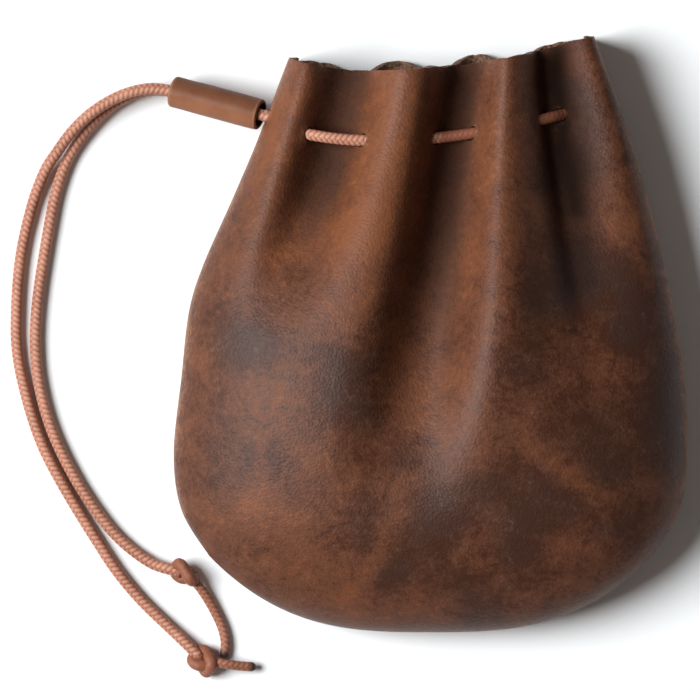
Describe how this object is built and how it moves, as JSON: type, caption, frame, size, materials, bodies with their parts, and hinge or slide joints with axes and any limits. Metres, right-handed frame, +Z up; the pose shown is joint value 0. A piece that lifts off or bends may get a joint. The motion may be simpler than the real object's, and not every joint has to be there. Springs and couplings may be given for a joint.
{
  "type": "coin pouch",
  "caption": "Soft leather coin pouch with a gathered mouth, closed by a cord that runs through punched holes and a leather slider.",
  "frame": {"origin": "on the table under the middle of the pouch's width and length, measured without the free cord ends and what is on them", "axes": "+Y from the rounded bottom towards the mouth, +Z up from the table through the back panel to the front panel, +X to the right seen from above with the mouth away"},
  "size_m": [0.145, 0.137, 0.034],
  "materials": {
    "leather": "oiled pull-up leather, mottled brown",
    "slider_leather": "smooth oiled leather",
    "waxed_cord": "waxed braided cord"
  },
  "bodies": {
    "root": {"front_panel": "leather", "back_panel": "leather", "slider_bead": "slider_leather", "drawstring": "waxed_cord", "strand_outer": "waxed_cord", "strand_inner": "waxed_cord", "knot_outer": "waxed_cord", "knot_inner": "waxed_cord", "tail_outer": "waxed_cord", "tail_inner": "waxed_cord"}
  },
  "joints": []
}
